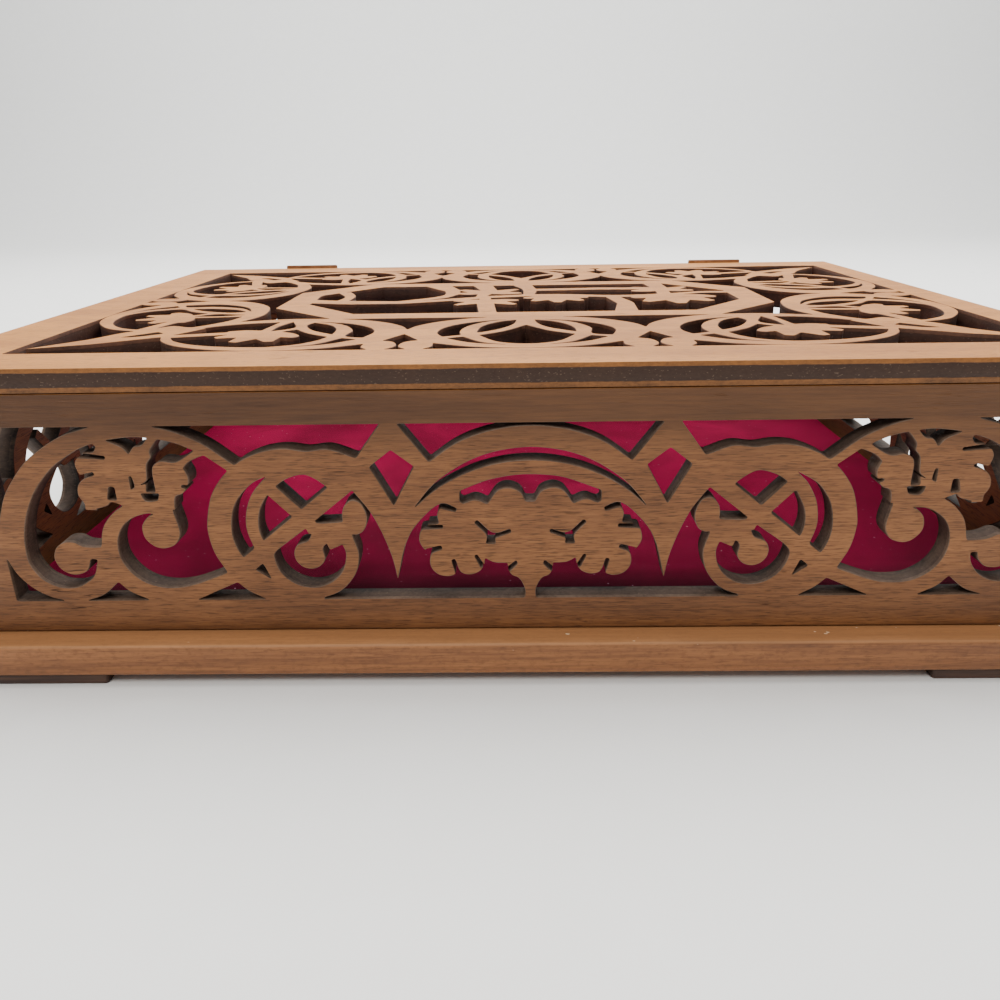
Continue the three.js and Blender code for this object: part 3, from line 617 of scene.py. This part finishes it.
def rounded_board(name, corner, rounding, look, slot, node, dents=0.0):
    """A board with softly rounded edges all round, made of level rings; dents mark its rim a little."""
    low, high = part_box(node)
    half, middle = (high - low) / 2, (high + low) / 2
    turns = [math.pi / 2 * k / EDGE_STEPS for k in range(EDGE_STEPS + 1)]
    edge = [(rounding * (1 - math.sin(a)), rounding * (1 - math.cos(a))) for a in turns]
    profile = [(inset, low.z + rise) for inset, rise in edge]
    profile += [(inset, high.z - rise) for inset, rise in reversed(edge)]
    work = bmesh.new()
    rings = []
    for inset, z in profile:
        outline = rounded_rectangle(half.x - inset, half.y - inset, max(corner - inset, LEAST_CORNER))
        rings.append([work.verts.new((middle.x + x, middle.y + y, z)) for x, y in outline])
    join_rings(work, rings[::-1])
    if dents:
        for vertex in work.verts:
            depth = sum(share * noise.noise(vertex.co * scale) for scale, share in RIM_WAVES)
            inward = Vector((middle.x - vertex.co.x, middle.y - vertex.co.y, 0)).normalized()
            vertex.co += inward * max(0.0, depth) * dents
    mesh = mesh_from(work, name, look)
    soften(mesh)
    return add_object(name, mesh, "box", [node])


def rounded_rectangle(half_x, half_y, corner):
    """Points round a rectangle with round corners, anticlockwise, the same count whatever its size."""
    points = []
    for quarter, (sign_x, sign_y) in enumerate(((1, -1), (1, 1), (-1, 1), (-1, -1))):
        centre_x, centre_y = sign_x * (half_x - corner), sign_y * (half_y - corner)
        for k in range(CORNER_STEPS + 1):
            angle = math.radians(90 * (quarter - 1) + 90 * k / CORNER_STEPS)
            points.append((centre_x + corner * math.cos(angle), centre_y + corner * math.sin(angle)))
    filled = []
    for i, (x, y) in enumerate(points):
        filled.append((x, y))
        quarter, place = divmod(i, CORNER_STEPS + 1)
        if place == CORNER_STEPS:
            end_x, end_y = points[(i + 1) % len(points)]
            steps = SIDE_STEPS[quarter % 2]
            filled += [(x + (end_x - x) * k / steps, y + (end_y - y) * k / steps) for k in range(1, steps)]
    return filled


def pad_slab(low, high):
    """A closed slab in small squares, PAD_LAYERS squares thick."""
    counts = (round((high.x - low.x) / PAD_GRID), round((high.y - low.y) / PAD_GRID), PAD_LAYERS)
    work = bmesh.new()
    found = {}

    def corner(i, j, k):
        if (i, j, k) not in found:
            share = Vector((i / counts[0], j / counts[1], k / counts[2]))
            found[i, j, k] = work.verts.new([low[a] + (high[a] - low[a]) * share[a] for a in range(3)])
        return found[i, j, k]

    def side(fixed, level, flip):
        a, b = [n for n in range(3) if n != fixed]
        for i in range(counts[a]):
            for j in range(counts[b]):
                square = []
                for di, dj in ((0, 0), (1, 0), (1, 1), (0, 1)):
                    place = [0, 0, 0]
                    place[fixed], place[a], place[b] = level, i + di, j + dj
                    square.append(corner(*place))
                work.faces.new(square[::-1] if flip else square)

    for fixed in range(3):
        side(fixed, 0, fixed != 1)
        side(fixed, counts[fixed], fixed == 1)
    return mesh_from(work, "velvet_pad")


def velvet_pad(look):
    """The pad, blown up a little as cloth, then with a soft swell and one crease along its front."""
    low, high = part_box("floor_pad")
    shrink = Vector((PAD_SHRINK, PAD_SHRINK, PAD_SHRINK * PAD_SINK))
    mesh = pad_slab(low + shrink, high - shrink)
    rest = [v.co.copy() for v in mesh.vertices]
    pad = add_object("velvet_pad", mesh)
    cloth = pad.modifiers.new("Cloth", "CLOTH")
    cloth.settings.use_pressure = True
    cloth.settings.uniform_pressure_force = PAD_PRESSURE
    cloth.settings.effector_weights.gravity = 0
    cloth.settings.tension_stiffness = PAD_STIFFNESS
    cloth.point_cache.frame_end = PAD_FRAMES
    for step in range(1, PAD_FRAMES + 1):
        bpy.context.scene.frame_set(step)
    settled = pad.evaluated_get(bpy.context.evaluated_depsgraph_get()).data
    moved = [v.co.copy() for v in settled.vertices]
    pad.modifiers.remove(cloth)
    bpy.context.scene.frame_set(1)
    for vertex, start, end in zip(mesh.vertices, rest, moved):
        shift = end - start
        vertex.co = start + shift * min(1, PAD_CAP / max(shift.length, 1e-9))
    for vertex in mesh.vertices:
        swell = noise.noise(Vector((vertex.co.x * SWELL_X, vertex.co.y * SWELL_Y, 2))) * SWELL_SHARE
        crease_line = low.y + CREASE_INSET + CREASE_WAVE * math.sin(vertex.co.x * CREASE_TURNS)
        crease = math.exp(-((vertex.co.y - crease_line) / CREASE_WIDTH) ** 2)
        if vertex.co.z > (low.z + high.z) / 2:
            vertex.co.z += (swell - CREASE_SHARE * crease) * PAD_RELIEF
        vertex.co.x = min(max(vertex.co.x, low.x), high.x)
        vertex.co.y = min(max(vertex.co.y, low.y), high.y)
        vertex.co.z = max(vertex.co.z, low.z)
    divide = pad.modifiers.new("Smooth", "SUBSURF")
    divide.levels = divide.render_levels = 1
    mesh.materials.append(look)
    mesh.shade_smooth()
    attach(pad, "box")
    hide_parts("floor_pad")


def rod(work, ends, middle, profile, bore=0.0):
    """A turned piece along X: the profile lists how far in from each end it reaches which radius."""
    left, right = ends
    stations = [(left + inset, radius) for inset, radius in profile]
    stations += [(right - inset, radius) for inset, radius in reversed(profile)]
    if bore:
        stations = [(left, bore), *stations, (right, bore)]
    turns = [2 * math.pi * k / KNUCKLE_SIDES for k in range(KNUCKLE_SIDES)]
    circle = [(math.cos(a), math.sin(a)) for a in turns]
    rings = []
    for x, radius in stations:
        rings.append([work.verts.new((x, middle.y + radius * c, middle.z + radius * s)) for c, s in circle])
    join_rings(work, rings, is_loop=bool(bore))


def plate(work, low, high):
    """A thin plate in the XZ plane with round corners and eased edges on its outer side."""
    half, middle = (high - low) / 2, (high + low) / 2
    ease = LEAF_ROUNDING * LEAF_EASE
    rings = []
    for inset, y in ((0, low.y), (0, high.y - LEAF_ROUNDING), (ease, high.y - ease), (LEAF_ROUNDING, high.y)):
        outline = rounded_rectangle(half.x - inset, half.z - inset, LEAF_CORNER)
        rings.append([work.verts.new((middle.x + x, y, middle.z + z)) for x, z in outline])
    join_rings(work, rings)


def box_matrix(low, high):
    """What turns a unit cube into the box between two corners."""
    return Matrix.Translation((low + high) / 2) @ Matrix.Diagonal((*(high - low), 1))


def pin_form(work, low, high):
    """A pin with slightly domed ends."""
    radius = (high.z - low.z) / 2
    dome = [(PIN_HEAD * inset, radius * share) for inset, share in PIN_DOME]
    rod(work, (low.x, high.x), (low + high) / 2, dome)


def leaf_form(work, low, high, pin_low, pin_high, leaf):
    """A leaf's plate, its bored knuckles split by thin gaps, and the tabs that join them to the plate."""
    axle = (pin_low + pin_high) / 2
    bore = (pin_high.z - pin_low.z) / 2 + BORE_CLEARANCE
    radius = high.y - axle.y
    face = low.y + LEAF_THICKNESS
    notch = math.sqrt((radius + KNUCKLE_SPLIT) ** 2 - (axle.y - face) ** 2)
    near = axle.z + leaf.sign * notch
    far = low.z if leaf.sign < 0 else high.z
    plate(work, Vector((low.x, low.y, min(far, near))), Vector((high.x, face, max(far, near))))
    seam, lap = axle.z + leaf.sign * SEAM_HALF, near + leaf.sign * TAB_LAP
    tab_face = min(face, axle.y - bore)
    pitch = (pin_high.x - pin_low.x) / KNUCKLES
    for i in leaf.knuckles:
        start = pin_low.x + pitch * i + KNUCKLE_SPLIT / 2
        end = start + pitch - KNUCKLE_SPLIT
        rod(work, (start, end), axle, [(inset, radius - lost) for inset, lost in KNUCKLE_END], bore)
        tab = Vector((start, low.y, min(seam, lap))), Vector((end, tab_face, max(seam, lap)))
        bmesh.ops.create_cube(work, matrix=box_matrix(*tab))


def hinge_piece(node, body, look, form, *sizes):
    """A closed mesh in the place of one CAD hinge node."""
    work = bmesh.new()
    form(work, *sizes)
    bmesh.ops.recalc_face_normals(work, faces=work.faces)
    mesh = mesh_from(work, node + "_formed", look)
    soften(mesh)
    add_object(node + "_formed", mesh, body, [node])


def hinges(look):
    """Both hinges, each a pin and its two leaves."""
    for side in ("left", "right"):
        pin_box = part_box(f"hinge_{side}_pin")
        hinge_piece(f"hinge_{side}_pin", "box", look, pin_form, *pin_box)
        for leaf in LEAVES:
            node = f"hinge_{side}_{leaf.name}"
            hinge_piece(node, leaf.body, look, leaf_form, *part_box(node), *pin_box, leaf)


def backdrop():
    """Pale paper that lies flat in front and curves up into a wall behind."""
    finish = Finish("pale_studio_paper", Roughness=0.9)
    mottle = finish.noise((60, 60, 60), 2.0, 0.5)
    finish.paint(Base_Color=finish.mix(mottle, srgb(241, 241, 238), srgb(245, 245, 243)))
    turns = [math.pi / 2 * k / COVE_STEPS for k in range(COVE_STEPS + 1)]
    profile = [(FLOOR_FRONT, 0)]
    profile += [(FLOOR_BACK + math.sin(a) * COVE_RADIUS, COVE_RADIUS * (1 - math.cos(a))) for a in turns]
    profile += [(FLOOR_BACK + COVE_RADIUS, BACKDROP_TOP)]
    work = bmesh.new()
    ends = (-BACKDROP_HALF_WIDTH, BACKDROP_HALF_WIDTH)
    rows = [[work.verts.new((x, y, z)) for x in ends] for y, z in profile]
    for a, b in zip(rows, rows[1:]):
        work.faces.new((a[0], a[1], b[1], b[0]))
    mesh = mesh_from(work, "studio_floor", finish.material)
    mesh.shade_smooth()
    add_object("studio_floor", mesh)


def lights():
    """The softboxes and a little light from all round."""
    for lamp in LAMPS:
        light = bpy.data.lights.new(lamp.name, "AREA")
        light.shape = "RECTANGLE"
        light.size, light.size_y = lamp.size
        light.energy, light.color = lamp.watts, lamp.colour
        holder = bpy.data.objects.new(lamp.name, light)
        holder.location = lamp.place
        aim = Vector(lamp.target) - Vector(lamp.place)
        holder.rotation_euler = aim.to_track_quat("-Z", "Y").to_euler()
        bpy.context.scene.collection.objects.link(holder)
    world = bpy.data.worlds.new("studio_air")
    world.use_nodes = True
    air = world.node_tree.nodes["Background"]
    air.inputs["Color"].default_value = AIR_COLOUR
    air.inputs["Strength"].default_value = AIR_STRENGTH
    bpy.context.scene.world = world


def camera():
    """The photo's own camera, from its place, its turns and its focal length."""
    yaw, pitch, roll = (math.radians(a) for a in (CAMERA_YAW, CAMERA_PITCH, CAMERA_ROLL))
    reach = math.cos(pitch)
    forward = Vector((math.sin(yaw) * reach, math.cos(yaw) * reach, -math.sin(pitch)))
    level = Vector((math.cos(yaw), -math.sin(yaw), 0))
    down = forward.cross(level)
    right = level * math.cos(roll) + down * math.sin(roll)
    below = down * math.cos(roll) - level * math.sin(roll)
    data = bpy.data.cameras.new("camera")
    data.sensor_width = SENSOR
    data.lens = SENSOR * FOCAL_PIXELS / PHOTO_WIDTH
    data.clip_start = 0.01
    eye = bpy.data.objects.new("camera", data)
    turned = Matrix((right, -below, -forward)).transposed().to_4x4()
    eye.matrix_world = Matrix.Translation(CAMERA_PLACE) @ turned
    bpy.context.scene.collection.objects.link(eye)
    bpy.context.scene.camera = eye


def dress_panels():
    """The five fretwork sheets, with their faces, rims and laser-cut edges."""
    for panel in PANELS:
        normal = Vector(panel.normal)
        axis = max(range(3), key=lambda i: abs(normal[i]))
        sign = normal[axis]
        low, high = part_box(panel.node)
        outer = high[axis] if sign > 0 else low[axis]
        thickness = high[axis] - low[axis]
        along = 1 if axis == 0 else 0
        if panel.node == "lid_panel":
            face = veneer("lid_veneer", LID_LIGHT, LID_DARK, along, 0.55, 0.8, 0.22)
            cut_tones_lit_and_shaded = LID_CUT_SHADED
        else:
            face = veneer(panel.node + "_veneer", WALL_LIGHT, WALL_DARK, along, shaded=WALL_SHADING)
            cut_tones_lit_and_shaded = WALL_CUT_LIT
        inside = veneer(panel.node + "_inner_veneer", INNER_LIGHT, INNER_DARK, along)
        rim = ply_edge(panel.node + "_rim", axis, outer, sign, thickness, RIM_PLIES, 0.3)
        # The cut edges' material carries laser char together with the painted light and shade of their tones.
        charred_with_painted_light = ply_edge(panel.node + "_laser_cut", axis, outer, sign, thickness, cut_tones_lit_and_shaded, 0.62)
        cut_panel(panel, (face, inside, rim, charred_with_painted_light))


def dress_base():
    """The base board and its four feet."""
    base = base_wood(), "base_wood", "base_board"
    rounded_board("base_board_rounded", BASE_CORNER, BASE_ROUNDING, *base, dents=BASE_DENTS)
    look = foot_wood()
    for side in ("left", "right"):
        for end in ("front", "rear"):
            node = f"foot_{end}_{side}"
            rounded_board(node + "_strip", FOOT_CORNER, FOOT_ROUNDING, look, "foot_wood", node)


camera()
lights()
backdrop()
dress_panels()
dress_base()
velvet_pad(velvet())
hinges(bronze())
